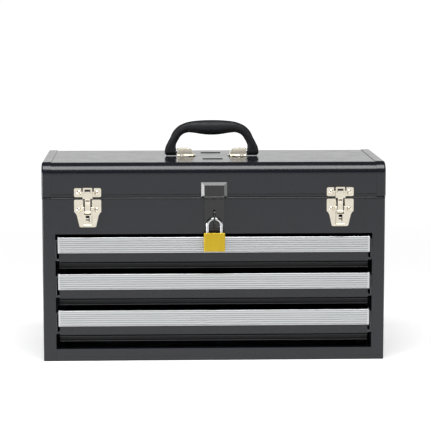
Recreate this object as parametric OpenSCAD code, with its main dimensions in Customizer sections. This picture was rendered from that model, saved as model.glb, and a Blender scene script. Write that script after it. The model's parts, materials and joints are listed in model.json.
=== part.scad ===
// Portable steel tool box: a hinged lid with a folding handle over an open till and
// three drawers, closed by two draw latches and by a hasp with a padlock.
// Origin at the bottom centre of the case, +Z up, front towards -Y. Millimetres.

/* [Case] */
// Width over the side panels
case_w = 520; // [460:1:600]
// Depth over the front and back panels
case_d = 218; // [205:1:280]
// Thickness of the painted sheet steel
sheet = 1; // [0.8:0.1:1.2]
// Outside radius of the bent vertical corners
corner_r = 3; // [2.5:0.5:6]
// Width of the upright on each side of the drawers
stile_w = 19.4; // [16:0.2:26]
// Depth of the flange bent in at the drawer opening
return_d = 16; // [12:1:24]
// Depth of the ledge bent in above the drawers
ledge_d = 26; // [18:1:32]
// Depth of the flanges bent in along the top and along the rail
hem_d = 10; // [7:0.5:12]
// Height of the flange that stands up around the till floor
till_flange_h = 12; // [8:1:20]
// Space between the front panel and the till floor's side flanges
till_front_gap = 29; // [20:1:40]
// How far the strip behind the seam laps each panel
seam_lap = 8; // [6:0.5:10]
// Height of the rail under the drawers
rail_h = 19; // [14:1:30]
// Height of the front panel above the drawers
till_front_h = 53; // [50:1:80]
// Distance from the side of the case to the seam of the front panel
seam_inset = 33; // [30:1:45]
// Radius of the rolled rim around the top
rim_r = 1.3; // [1:0.1:1.6]
// How far the rolled rim stands proud of the panels
rim_proud = 0.6; // [0.2:0.1:0.8]

/* [Lid] */
// Height of the lid shell from its lower edge
lid_h = 50.7; // [48:0.1:80]
// Gap between the rolled rim and the lid
lid_gap = 0.9; // [0.5:0.1:2]
// Radius of the lid's front edge
lid_front_r = 18; // [10:1:24]
// Radius of the lid's rear edge
lid_rear_r = 8; // [4:1:14]
// Height of the pressed crease over the lid's lower edge
crease_h = 3.4; // [2:0.1:5]
// Depth of the crease
crease_d = 0.4; // [0.2:0.1:0.5]
// Width of the end cap's flange over the lid shell
cap_flange = 13; // [8:1:20]
// Radius of the end cap's outer edge
cap_edge_r = 2.5; // [1.5:0.5:3]
// Length of each raised bead in front of and behind the handle
bead_len = 31; // [20:1:40]
// Width of the raised beads
bead_w = 4; // [3:0.5:6]
// Height of the raised beads
bead_h = 1; // [0.6:0.1:1.5]
// Distance of the raised beads from the handle line
bead_reach = 50; // [50:1:60]

/* [Drawers] */
// Height of a drawer front from its lower lip to the top of the pull
front_h = 49; // [46:1:60]
// Space between one drawer and the next
drawer_gap = 7.2; // [5:0.1:12]
// Space between the rail and the lowest drawer
foot_gap = 10.2; // [3:0.1:14]
// Space between the highest drawer and the front panel
head_gap = 4.8; // [3:0.1:8]
// Space between a pull and the upright beside it
side_gap = 4; // [2:0.1:6]
// How far the drawer fronts lie behind the front of the case
front_recess = 4.5; // [1:0.5:6]
// How far the narrower painted front ends inside its pull
front_inset = 1.5; // [1:0.1:4]
// Height of the stepped-back lower edge of a drawer front
skirt_h = 11; // [8:0.1:12]
// Depth of that step
skirt_step = 6; // [4:0.5:6.5]
// How far the two ridges on the stepped part stand out
ridge_d = 3; // [1:0.1:3.5]
// Height of a ridge
ridge_h = 1.4; // [1:0.1:1.8]
// Distance of the upper ridge under the step
ridge_drop = 4; // [3:0.1:5]
// Height of the tray sides above the lower lip
tray_h = 43; // [40:1:52]
// Height of the tray bottom above the lower lip
tray_lift = 1.5; // [1:0.5:3]
// Space between the tray and the upright, for the slides
slide_space = 11.6; // [10:0.1:14]
// Clear distance behind the tray
tray_rear_gap = 9; // [6:1:20]
// Travel of a drawer
drawer_travel = 165; // [100:1:165]

/* [Pulls] */
// Height of the aluminium pull
pull_h = 24; // [22:0.5:26]
// How far the pull stands in front of the painted front
pull_d = 7.5; // [7.2:0.1:8]
// Wall thickness of the pull
pull_t = 1.6; // [1.2:0.1:1.8]
// Distance between the fine grooves
groove_pitch = 3.3; // [2.8:0.1:4]
// Radius of a groove
groove_r = 0.65; // [0.3:0.05:0.7]
// Plain band above the first groove
pull_band = 5.5; // [4:0.5:7]
// Thickness of the clip on each end
clip_t = 3; // [2:0.5:4]

/* [Runners and slides] */
// Height of a runner fixed in the case
runner_h = 32; // [26:1:34]
// Height of a runner above the drawer's lower lip
runner_lift = 12; // [10:0.5:14]
// Depth of the runner's flanges
runner_d = 8; // [6:0.5:9]
// Thickness of runners, slides and posts
runner_t = 1.2; // [1:0.1:1.5]
// Play between runner and slide, above and below
slide_play = 0.3; // [0.2:0.05:0.5]

/* [Piano hinge] */
// Diameter of the knuckles
knuckle_d = 5; // [4:0.5:6]
// Diameter of the pin
hinge_pin_d = 2.5; // [2:0.1:3]
// Number of knuckles
knuckles = 24; // [12:2:30]
// Length of the hinge
hinge_len = 480; // [400:10:490]
// Height of each leaf
leaf_h = 18; // [12:1:24]
// Thickness of the leaves
leaf_t = 1.2; // [1:0.1:1.5]
// Gap between neighbouring knuckles
knuckle_gap = 0.3; // [0.2:0.05:0.6]
// Running clearance around pins, on the radius
pin_fit = 0.05; // [0.02:0.01:0.1]

/* [Handle] */
// Distance of the handle line behind the middle of the case
handle_y = 10; // [0:1:15]
// Half the straight length of the grip
grip_half = 36; // [30:1:45]
// Radius of the grip at its fullest
grip_r = 12; // [9:0.5:13]
// Radius of the grip where it starts to bend
grip_neck_r = 7.8; // [7.2:0.1:9]
// Radius of the grip's legs near the feet
grip_leg_r = 6.4; // [5.5:0.1:6.4]
// Bend radius of the handle
handle_bend_r = 22; // [20:1:30]
// Turn of each bend, in degrees
handle_bend = 69; // [65:1:80]
// Height of the grip's middle line above the pivot
handle_rise = 37.3; // [35:0.1:50]
// Height of the pivot above the lid
pivot_h = 7; // [7:0.1:9]
// Diameter of the steel core
core_d = 6; // [5:0.5:6]
// Width of each foot along the pivot
foot_w = 18.6; // [16:0.1:20]
// Distance from the foot's inner face to the middle of the leg
foot_lap = 10; // [8:0.1:11]
// Radius of the grip at the lower end of a leg
leg_low_r = 7.4; // [6.6:0.1:7.5]

/* [Handle brackets] */
// Length of a bracket
bracket_len = 30; // [28:1:38]
// Width of a bracket's foot plate
bracket_w = 30; // [26:1:36]
// Width of the raised hood
strap_w = 12; // [11.2:0.1:13]
// Thickness of the bracket's steel
bracket_t = 1.5; // [1.2:0.1:2]
// Height of the raised strap over the foot plate
strap_rise = 11.2; // [11:0.1:14]
// Radius of the hood's upper bend beside the foot
strap_r = 2.5; // [2:0.5:4]

/* [Draw latches] */
// Distance from the middle of the case to each latch
latch_x = 191; // [150:1:198]
// Thickness of the latch steel
latch_t = 1.2; // [1:0.1:1.3]
// Half width of the base plate and the catch
latch_half = 20.4; // [19:0.1:22]
// Height of the base plate
base_h = 42; // [40:0.5:46]
// Half width of the base plate at its lower end
base_tip_half = 13; // [11:0.5:15]
// Height of the catch plate
catch_h = 14.6; // [13:0.1:16]
// Distance of the rivets from the latch's middle
rivet_off = 13.3; // [12.5:0.1:14]
// Half width of the lever
lever_half = 6.3; // [6:0.1:7]
// Length of the lever below its pivot
lever_len = 26.5; // [25:0.5:29]
// Distance of the pivot below the top of the base plate
latch_pivot_drop = 13.4; // [13:0.1:15]
// Diameter of the lever's pivot rivets
lever_pin_d = 3; // [2.5:0.1:3.2]
// Diameter of the claw's pin
claw_pin_d = 2.5; // [2:0.1:2.6]
// Distance of the claw's pin below the lever's pivot
claw_drop = 6; // [5.5:0.1:7]
// How far the claw's pin lies behind the lever's pivot
over_centre = 1.6; // [1:0.1:2]
// Half width of the claw's neck
claw_neck_half = 4; // [3:0.1:4.4]
// Half width of the claw's head
claw_head_half = 7.6; // [6:0.1:8]

/* [Hasp and staple] */
// Half width of the hasp plate
hasp_half = 19.5; // [18:0.5:24]
// Height of the hasp plate
hasp_h = 22; // [18:0.5:26]
// Width of the hasp plate's bevels
hasp_bevel = 4.5; // [3:0.5:6]
// Height of the hasp plate's raised face
hasp_raise = 4.4; // [4:0.1:5]
// Half width of the swinging strap
flap_half = 15.2; // [13:0.1:17]
// Length of the swinging strap below its pin
flap_len = 46.5; // [44:0.5:50]
// Thickness of the strap, the hasp plate and the staple plate
flap_t = 1.5; // [1.2:0.1:1.6]
// Diameter of the hasp pin
hasp_pin_d = 2; // [1.6:0.1:2.2]
// Metal around the staple's eye
eye_wall = 4; // [3:0.5:5]
// Play of the strap's slot around the staple
slot_play = 0.7; // [0.5:0.1:1]
// Thickness of the staple
staple_t = 2.5; // [2:0.1:3]
// Height of the staple
staple_h = 22; // [20:0.5:24]
// Diameter of the staple's eye
eye_d = 7; // [6.5:0.1:8]
// Gap between the back of the padlock and the pulls
lock_gap = 0.4; // [0.3:0.1:1]

/* [Padlock] */
// Width of the padlock body
lock_w = 32; // [30:0.5:36]
// Height of the padlock body
lock_h = 28.5; // [26:0.5:32]
// Thickness of the padlock body
lock_t = 12.4; // [11:0.1:13]
// Diameter of the shackle wire
shackle_d = 4.6; // [4:0.1:5]
// Distance between the middles of the shackle's legs
shackle_span = 21; // [19:0.5:23]
// Height of the shackle's crown above the body, to its middle
shackle_rise = 20.8; // [18:0.1:24]
// How far the shackle's toe enters the body
toe_depth = 7; // [6:0.5:8]
// How far the shackle's heel enters the body
heel_depth = 17; // [15:0.5:18]
// Diameter of the key plug
plug_d = 10; // [8:0.5:11]
// Length of the key plug
plug_len = 12; // [9:0.5:13]

/* [Lid stays] */
// Distance of both stay pivots from the hinge line
stay_r = 36; // [34:0.5:38]
// Width of a stay
stay_w = 8.4; // [7.5:0.1:8.6]
// Thickness of a stay
stay_t = 1.5; // [1.2:0.1:2]
// Diameter of the stay pins
stay_pin_d = 4; // [3.5:0.1:4]
// Gap between a stay and the case wall
stay_gap = 3; // [2.5:0.1:4]

/* [Colours] */
// Painted sheet steel
paint = "#3e3f43";
// Aluminium pulls
aluminium = "#c9cccc";
// Nickel-plated steel
nickel = "#cfcbc0";
// Zinc-plated steel
zinc = "#9fa3a6";
// Rubber grip
rubber = "#202224";
// Brass padlock body
brass = "#c9a227";
// Hardened steel shackle
bright_steel = "#d4d6d6";
// Black hasp steel
black_steel = "#26272a";

/* [Hidden] */
$fn = 48;

half_w = case_w / 2;
front_y = -case_d / 2;
back_y = case_d / 2;
opening_x = half_w - stile_w;
seam_x = half_w - seam_inset;
drawer_pitch = front_h + drawer_gap;
lowest_z = rail_h + foot_gap;
drawer_z = [for (i = [0:2]) lowest_z + i * drawer_pitch];
opening_top = drawer_z[2] + front_h + head_gap;
panel_top = opening_top + till_front_h;
rim_z = panel_top + rim_r;
rim_in = rim_r - rim_proud;
lid_z = rim_z + rim_r + lid_gap;
lid_top = lid_z + lid_h;

face_y = front_y + front_recess;
pull_y = face_y - pull_d;
pull_half = opening_x - side_gap;
clip_x = pull_half - clip_t;
face_half = pull_half - front_inset;
tray_half = opening_x - slide_space;
tray_back = back_y - sheet - tray_rear_gap;

runner_front = front_y + return_d - 7;
runner_back = back_y - 5;
slide_front = face_y + 6;
slide_back = runner_back - runner_t - 0.3;

hinge_y = back_y + knuckle_d / 2 + 0.5;
hinge_z = (rim_z + lid_z) / 2 - 0.4;
hinge_pitch = hinge_len / knuckles;

pivot_z = lid_top + pivot_h;
grip_z = pivot_z + handle_rise;
leg_top_x = grip_half + handle_bend_r * sin(handle_bend);
leg_top_z = grip_z - handle_bend_r * (1 - cos(handle_bend));
leg_len = (leg_top_z - pivot_z) / sin(handle_bend);
foot_mid = leg_top_x + leg_len * cos(handle_bend);
foot_in = foot_mid - foot_lap;
foot_out = foot_in + foot_w;
bracket_out = foot_in - 0.9;
leg_end = leg_len - 2 / sin(handle_bend);
bend_lap = 2;
bend_step = 0.15;
bracket_tip = bracket_out - bracket_len;
strap_top = lid_top + bracket_t + strap_rise;

base_top = panel_top - 0.2;
base_low = base_top - base_h;
base_y = front_y - latch_t;
claw_y = base_y - 2.5;
lever_z = base_top - latch_pivot_drop;
lever_y = claw_y - over_centre;
claw_z = lever_z - claw_drop;
web_y = claw_y - 2.5 - latch_t;
catch_low = lid_z;
catch_top = catch_low + catch_h;
catch_face_y = front_y - 4.1;
window_low = catch_low + 7.1;
window_top = window_low + 4.7;
window_half = 4.4;
ear_in = lever_half + 0.3;
ear_z = lever_z + 12;
rivet_head_r = 3.4;
rivet_r = 1.6;
rivet_base_z = base_top - 16;
rivet_catch_z = catch_low + 6.3;

hasp_y = front_y - 4;
hasp_z = lid_z - 1.1;
hasp_knuckle_r = 2;
hasp_knuckle = flap_half * 2 / 5;
eye_y = pull_y - lock_gap - lock_t / 2;
staple_front = eye_y - eye_d / 2 - eye_wall + 0.8;
staple_nose = 5;
wire_z = lid_z - 32.8;
staple_low = wire_z - staple_h / 2 + 1.5;
staple_top = staple_low + staple_h;
eye_z = wire_z + (eye_d - shackle_d) / 2 - 0.3;
lock_top = wire_z - shackle_rise;
lock_low = lock_top - lock_h;

stay_alpha = 62;
stay_case_angle = 201.2;
stay_case = [hinge_y + stay_r * cos(stay_case_angle), hinge_z + stay_r * sin(stay_case_angle)];
stay_lid_angle = stay_case_angle - stay_alpha;
stay_lid = [hinge_y + stay_r * cos(stay_lid_angle), hinge_z + stay_r * sin(stay_lid_angle)];
lid_opening = 95;
stay_short = 2 * stay_r * sin(stay_alpha / 2);
stay_long = 2 * stay_r * sin((stay_alpha + lid_opening) / 2);
stay_x = half_w - sheet - stay_gap - stay_t;
stay_head = 1.2;

// A box from its lowest to its highest corner
module block(a, b) {
    translate(a) cube(b - a);
}

// Extrudes a (y, z) section along X
module along_x(x0, x1) {
    translate([x0, 0, 0]) rotate([90, 0, 90]) linear_extrude(x1 - x0) children();
}

// Extrudes an (x, z) section along Y
module along_y(y0, y1) {
    translate([0, y1, 0]) rotate([90, 0, 0]) linear_extrude(y1 - y0) children();
}

// A cylinder along X
module rod_x(x0, x1, y, z, r) {
    translate([x0, y, z]) rotate([0, 90, 0]) cylinder(h = x1 - x0, r = r);
}

// A cylinder along Y
module rod_y(y0, y1, x, z, r) {
    translate([x, y1, z]) rotate([90, 0, 0]) cylinder(h = y1 - y0, r = r);
}

// The same thing on the right and on the left
module both_sides() {
    children();
    mirror([1, 0, 0]) children();
}

module rect(x0, y0, x1, y1) {
    translate([x0, y0]) square([x1 - x0, y1 - y0]);
}

// A rectangle with round corners
module round_rect(x0, y0, x1, y1, r) {
    rect(x0 + r, y0, x1 - r, y1);
    rect(x0, y0 + r, x1, y1 - r);
    for (x = [x0 + r, x1 - r], y = [y0 + r, y1 - r]) translate([x, y]) circle(r);
}

// ---- case ----

// Plan section of the side wall with its bent front flange, which ends at flange_x
module side_section(flange_x) {
    rect(half_w - sheet, front_y + corner_r, half_w, back_y - sheet);
    rect(flange_x, front_y, half_w - corner_r, front_y + sheet);
    translate([half_w - corner_r, front_y + corner_r]) intersection() {
        difference() {
            circle(corner_r);
            circle(corner_r - sheet);
        }
        translate([0, -corner_r]) square(corner_r);
    }
}

module side_panel() {
    color(paint) difference() {
        union() {
            linear_extrude(opening_top) side_section(opening_x);
            translate([0, 0, opening_top]) linear_extrude(till_front_h) side_section(seam_x);
            block([opening_x, front_y + sheet / 2, rail_h],
                  [opening_x + sheet, front_y + return_d, opening_top - sheet]);
        }
        latch_rivet_shanks(front_y - 1, front_y + sheet + 1, rivet_base_z);
        rod_x(half_w - sheet - 1, half_w + 1, stay_case[0], stay_case[1], stay_pin_d / 2);
    }
}

module side_right() {
    side_panel();
}

module side_left() {
    mirror([1, 0, 0]) side_panel();
}

module back_panel() {
    color(paint) block([-half_w, back_y - sheet, 0], [half_w, back_y, rim_z]);
}

module base_pan() {
    inner_r = corner_r - sheet;
    color(paint) {
        linear_extrude(sheet) {
            round_rect(-half_w + sheet, front_y + sheet, half_w - sheet, back_y - sheet - inner_r, inner_r);
            rect(-half_w + sheet, 0, half_w - sheet, back_y - sheet);
        }
        along_x(-opening_x, opening_x) {
            rect(front_y, 0, front_y + sheet, rail_h);
            rect(front_y, 0, front_y + hem_d, sheet);
            rect(front_y, rail_h - sheet, front_y + hem_d, rail_h);
        }
    }
}

module front_panel() {
    color(paint) difference() {
        union() {
            along_x(-seam_x, seam_x) {
                rect(front_y, opening_top, front_y + sheet, panel_top);
                rect(front_y, panel_top - sheet, front_y + hem_d, panel_top);
            }
            block([-opening_x, front_y + sheet / 2, opening_top], [opening_x, front_y + ledge_d, opening_top + sheet]);
            both_sides() block([seam_x - seam_lap, front_y + sheet / 2, opening_top + sheet / 2],
                               [seam_x - 0.1, front_y + 2 * sheet, panel_top - sheet / 2]);
            both_sides() block([seam_x - seam_lap / 2, front_y + sheet, opening_top + sheet],
                               [seam_x + seam_lap, front_y + 2 * sheet, panel_top - sheet]);
        }
        latch_rivet_shanks(front_y - 1, front_y + 2 * sheet + 1, rivet_base_z);
    }
}

module till_floor() {
    wall_x = half_w - sheet;
    wall_y = back_y - sheet;
    low = opening_top - sheet;
    flange_top = opening_top + till_flange_h;
    color(paint) {
        block([-wall_x, front_y + hem_d, low], [wall_x, wall_y, opening_top]);
        both_sides() block([wall_x - sheet, front_y + sheet + till_front_gap, low], [wall_x, wall_y, flange_top]);
    }
}

// The rolled rim along the front and both sides
module rim() {
    bend = corner_r + 1;
    color(paint) {
        along_x(-half_w + bend, half_w - bend) translate([front_y + rim_in, rim_z]) circle(rim_r);
        both_sides() {
            along_y(front_y + bend, back_y - sheet) translate([half_w - rim_in, rim_z]) circle(rim_r);
            translate([half_w - bend, front_y + bend, rim_z])
                rotate([0, 0, -90]) rotate_extrude(angle = 90)
                    translate([bend - rim_in, 0]) circle(rim_r);
        }
    }
}

// An upright in each rear corner, to which the runners are welded
module rear_post() {
    post_d = 21;
    top = opening_top - sheet;
    wall_x = half_w - sheet;
    wall_y = back_y - sheet;
    color(zinc) {
        block([opening_x, wall_y - post_d, sheet], [opening_x + runner_t, wall_y, top]);
        block([opening_x, wall_y - runner_t, sheet], [wall_x, wall_y, top]);
        block([wall_x - runner_t, wall_y - post_d, sheet], [wall_x, wall_y, top]);
    }
}

module rear_post_right() {
    rear_post();
}

module rear_post_left() {
    mirror([1, 0, 0]) rear_post();
}

// One channel for each drawer, open towards the drawer, with a stop at the rear
module runners() {
    x0 = opening_x - runner_t;
    color(zinc) for (z = drawer_z) {
        low = z + runner_lift;
        top = low + runner_h;
        along_y(runner_front, runner_back) {
            rect(x0, low, opening_x, top);
            rect(x0 - runner_d, low, x0, low + runner_t);
            rect(x0 - runner_d, top - runner_t, x0, top);
        }
        block([x0 - runner_d, runner_back - runner_t, low], [x0, runner_back, top]);
    }
}

module runners_right() {
    runners();
}

module runners_left() {
    mirror([1, 0, 0]) runners();
}

// ---- piano hinge ----

// Every second knuckle, starting with number first, grown by a clearance
module hinge_knuckles(first, grow) {
    for (i = [first:2:knuckles - 1])
        rod_x(-hinge_len / 2 + i * hinge_pitch + knuckle_gap / 2 - grow,
              -hinge_len / 2 + (i + 1) * hinge_pitch - knuckle_gap / 2 + grow,
              hinge_y, hinge_z, knuckle_d / 2 + grow);
}

// A leaf between two heights, with its knuckles, cut back beside the other leaf's knuckles
module hinge_leaf(z0, z1, first, cut_fit) {
    color(zinc) difference() {
        union() {
            difference() {
                block([-hinge_len / 2, back_y, z0], [hinge_len / 2, back_y + leaf_t, z1]);
                hinge_knuckles(1 - first, knuckle_gap);
            }
            hinge_knuckles(first, 0);
        }
        rod_x(-half_w, half_w, hinge_y, hinge_z, hinge_pin_d / 2 + cut_fit);
    }
}

module hinge_leaf_case() {
    hinge_leaf(hinge_z - 2 - leaf_h, hinge_z - 0.7, 0, 0);
}

module hinge_leaf_lid() {
    hinge_leaf(lid_z, lid_z + leaf_h, 1, pin_fit);
}

module hinge_pin() {
    color(zinc) rod_x(-hinge_len / 2, hinge_len / 2, hinge_y, hinge_z, hinge_pin_d / 2);
}

// ---- lid ----

// Section of the lid, grown outwards by g
module lid_section(g) {
    y0 = front_y - g;
    y1 = back_y + g;
    top = lid_top + g;
    rf = lid_front_r + g;
    rr = lid_rear_r + g;
    rect(y0 + rf, lid_z, y1 - rr, top);
    rect(y0, lid_z, y0 + rf, top - rf);
    rect(y1 - rr, lid_z, y1, top - rr);
    translate([y0 + rf, top - rf]) circle(rf, $fn = 96);
    translate([y1 - rr, top - rr]) circle(rr);
}

// A raised bead across the lid top
module lid_bead(y) {
    translate([0, y, lid_top - 0.01]) linear_extrude(bead_h)
        round_rect(-bead_len / 2, -bead_w / 2, bead_len / 2, bead_w / 2, bead_w / 2 - 0.01);
}

module lid_shell() {
    end_x = half_w - 0.5;
    color(paint) difference() {
        union() {
            along_x(-end_x, end_x) difference() {
                lid_section(0);
                difference() {
                    lid_section(-sheet);
                    rect(front_y, lid_z, front_y + 7, lid_z + sheet);
                }
                translate([front_y, lid_z + crease_h])
                    polygon([[-1, -3 * crease_d], [crease_d, 0], [-1, 3 * crease_d]]);
            }
            lid_bead(handle_y - bead_reach);
            lid_bead(handle_y + bead_reach);
        }
        latch_rivet_shanks(front_y - 1, front_y + sheet + 1, rivet_catch_z);
        bracket_rivet_shanks(lid_top - sheet - 1, lid_top + 1);
    }
}

// The cap over each end of the lid shell
module lid_end() {
    end_x = half_w - 0.5;
    outer_x = end_x + sheet;
    steps = 4;
    color(paint) difference() {
        union() {
            along_x(end_x - cap_flange, outer_x - cap_edge_r) lid_section(sheet);
            hull() for (i = [0:steps]) {
                a = 90 * i / steps;
                along_x(outer_x - cap_edge_r * (1 - sin(a)) - 0.01, outer_x - cap_edge_r * (1 - sin(a)))
                    lid_section(sheet - cap_edge_r * (1 - cos(a)), $fn = 32);
            }
        }
        along_x(end_x - cap_flange - 1, end_x) lid_section(0);
        translate([0, 0, lid_z - 5]) block([0, 2 * front_y, 0], [2 * half_w, 2 * back_y, 5]);
        rod_x(half_w - 3, half_w + 3, stay_lid[0], stay_lid[1], stay_pin_d / 2);
    }
}

module lid_end_right() {
    lid_end();
}

module lid_end_left() {
    mirror([1, 0, 0]) lid_end();
}

// ---- handle ----

module bracket_rivet_shanks(z0, z1) {
    both_sides() for (s = [-1, 1])
        translate([bracket_out - 7.5, handle_y + s * (bracket_w / 2 - 3.6), z0])
            cylinder(h = z1 - z0, r = rivet_r);
}

// Outline of the raised hood down to z = low, drawn in by g
module hood_outline(g, low) {
    arc_z = lid_top + bracket_t / 2;
    arc_x = bracket_out - bracket_len / 2;
    arc_r = strap_top - arc_z;
    rect(arc_x, low, bracket_out - g, strap_top - strap_r - g);
    rect(arc_x, arc_z, bracket_out - strap_r - g, strap_top - g);
    rect(arc_x - arc_r + g, low, bracket_out - g, arc_z);
    translate([bracket_out - strap_r - g, strap_top - strap_r - g]) circle(strap_r);
    translate([arc_x, arc_z]) intersection() {
        circle(arc_r - g);
        translate([-arc_r, 0]) square(arc_r);
    }
}

// A foot plate around a pressed hood, in whose end wall the handle turns
module handle_bracket() {
    z0 = lid_top;
    z1 = lid_top + bracket_t;
    color(nickel) difference() {
        union() {
            translate([0, handle_y, z0]) linear_extrude(bracket_t) {
                rect(bracket_tip + bracket_w / 2, -bracket_w / 2, bracket_out, bracket_w / 2);
                intersection() {
                    translate([bracket_tip + bracket_w / 2, 0]) circle(bracket_w / 2);
                    rect(bracket_tip, -bracket_w / 2, bracket_tip + bracket_w / 2 + 1, bracket_w / 2);
                }
            }
            along_y(handle_y - strap_w / 2, handle_y + strap_w / 2) hood_outline(0, z0 + 0.2);
        }
        along_y(handle_y - strap_w / 2 + bracket_t, handle_y + strap_w / 2 - bracket_t)
            hood_outline(bracket_t, z0 - 1);
        rod_x(bracket_out - 2 * bracket_t, bracket_out + 1, handle_y, pivot_z, core_d / 2 + pin_fit);
        bracket_rivet_shanks(z0 - 1, z1 + 1);
    }
}

module handle_bracket_right() {
    handle_bracket();
}

module handle_bracket_left() {
    mirror([1, 0, 0]) handle_bracket();
}

// A bar of radius r along the handle's middle line, with legs of a given length
module handle_line(r, r_end, len) {
    // the bends run into the straight lengths, which start a little stouter
    both_sides() {
        translate([grip_half, handle_y, grip_z - handle_bend_r]) rotate([90, 0, 0])
            rotate([0, 0, 90 - handle_bend - bend_lap]) rotate_extrude(angle = handle_bend + 2 * bend_lap)
                translate([handle_bend_r, 0]) circle(r);
        translate([leg_top_x, handle_y, leg_top_z])
            rotate([0, 90 + handle_bend, 0]) cylinder(h = len, r1 = r + bend_step, r2 = r_end);
    }
}

// The bent steel rod, with its ends turned inwards through the brackets
module handle_core_shape(grow) {
    // the straight lengths are a little stouter than the bends
    r = core_d / 2 + grow;
    step = 0.4;
    handle_line(r, r + step, leg_len);
    rod_x(-grip_half - 1, grip_half + 1, handle_y, grip_z, r + step);
    both_sides() {
        rod_x(bracket_out - 11, foot_mid, handle_y, pivot_z, r);
        translate([foot_mid, handle_y, pivot_z]) sphere(r + 2 * step);
    }
}

module handle_core() {
    color(bright_steel) {
        handle_core_shape(0);
        both_sides() rod_x(bracket_out - 13, bracket_out - 11, handle_y, pivot_z, core_d / 2 + 0.8);
    }
}

module handle_grip() {
    // the belly is an arc through the full radius in the middle and the neck at both ends
    sag = grip_r - grip_neck_r - bend_step;
    belly_r = (grip_half * grip_half + sag * sag) / (2 * sag);
    color(rubber) difference() {
        union() {
            translate([-grip_half, handle_y, grip_z]) rotate([0, 90, 0]) rotate_extrude(convexity = 4)
                intersection() {
                    translate([grip_r - belly_r, grip_half]) circle(belly_r, $fn = 360);
                    square([grip_r, 2 * grip_half]);
                }
            handle_line(grip_neck_r, leg_low_r, leg_end);
            both_sides() {
                translate([foot_mid - 2 / tan(handle_bend), handle_y, pivot_z + 2]) sphere(leg_low_r - 0.2);
                rod_x(foot_in, foot_out - 3, handle_y, pivot_z, grip_leg_r);
                translate([foot_out - 3, handle_y, pivot_z]) rotate([0, 90, 0])
                    rotate_extrude() {
                        square([grip_leg_r - 3, 3]);
                        intersection() {
                            translate([grip_leg_r - 3, 0]) circle(3);
                            square([grip_leg_r, 3]);
                        }
                    }
            }
        }
        handle_core_shape(0);
    }
}

// ---- drawers ----

module tray(z) {
    low = z + tray_lift;
    color(paint) {
        block([-tray_half, face_y + skirt_step + sheet, low], [tray_half, tray_back, low + sheet]);
        block([-tray_half, tray_back - sheet, low], [tray_half, tray_back, z + tray_h]);
        both_sides() {
            block([tray_half - sheet, face_y + skirt_step + sheet, low], [tray_half, tray_back, z + tray_h]);
            block([tray_half - sheet, face_y + sheet, z + skirt_h],
                  [tray_half, face_y + skirt_step + sheet + 1, z + tray_h]);
        }
    }
}

// The painted front: folded back at the top, and stepped back at the bottom with two ridges
module drawer_front(z) {
    step_y = face_y + skirt_step;
    top = z + front_h - 3;
    color(paint) along_x(-face_half, face_half) {
        rect(face_y, z + skirt_h, face_y + sheet, top);
        rect(face_y, top - sheet, face_y + 5, top);
        rect(face_y + 0.6, z + skirt_h - sheet, step_y + sheet, z + skirt_h);
        translate([face_y + 1, z + skirt_h]) circle(1);
        rect(step_y, z + 0.8, step_y + sheet, z + skirt_h);
        for (low = [z, z + skirt_h - ridge_drop])
            round_rect(step_y - ridge_d, low, step_y + sheet, low + ridge_h, 0.4);
    }
}

// Extruded aluminium pull: an open channel with a grooved face and a rounded top edge
module pull(z) {
    low = z + front_h - pull_h;
    top = z + front_h;
    color(aluminium) along_x(-clip_x, clip_x) difference() {
        union() {
            rect(pull_y, low + 1, pull_y + pull_t, top - 1.4);
            rect(pull_y + 1, low, face_y, low + pull_t);
            translate([pull_y + 1, low + 1]) circle(1);
            translate([pull_y + 1.4, top - 1.4]) circle(1.4);
            rect(face_y - 1.2, low, face_y, low + 14);
        }
        for (i = [0:5]) translate([pull_y - 0.1, top - pull_band - i * groove_pitch]) circle(groove_r);
    }
}

module pull_clips(z) {
    low = z + front_h - pull_h;
    top = z + front_h;
    color(aluminium) both_sides() along_x(clip_x, pull_half) difference() {
        round_rect(pull_y - 0.3, low - 0.3, face_y, top + 0.3, 1.5);
        round_rect(pull_y + pull_t + 0.6, low + 7, face_y - 2.2, top + 3, 1.5);
    }
}

// The moving half of each slide: a channel nested in the runner
module slides(z) {
    low = z + runner_lift + runner_t + slide_play;
    top = z + runner_lift + runner_h - runner_t - slide_play;
    reach = opening_x - runner_t - 1.1;
    color(zinc) both_sides() along_y(slide_front, slide_back) {
        rect(tray_half, low, tray_half + runner_t, top);
        rect(tray_half, low, reach, low + runner_t);
        rect(tray_half, top - runner_t, reach, top);
    }
}

// ---- draw latches ----

module latch_rivet_shanks(y0, y1, z) {
    both_sides() for (s = [-1, 1]) rod_y(y0, y1, latch_x + s * rivet_off, z, rivet_r);
}

// Domed heads in front of the plates, with their shanks behind
module latch_rivets(z, y1) {
    both_sides() for (s = [-1, 1]) {
        x = latch_x + s * rivet_off;
        rod_y(base_y, y1, x, z, rivet_r);
        translate([x, base_y, z]) rotate([90, 0, 0]) rivet_head(rivet_head_r);
    }
}

// A flat-bottomed dome of radius r with a set-in dimple
module rivet_head(r) {
    height = r * 0.5;
    ball = (r * r + height * height) / (2 * height);
    difference() {
        intersection() {
            translate([0, 0, height - ball]) sphere(ball);
            cylinder(h = height, r = r);
        }
        translate([0, 0, height + r * 0.2]) sphere(r * 0.55);
    }
}

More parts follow.
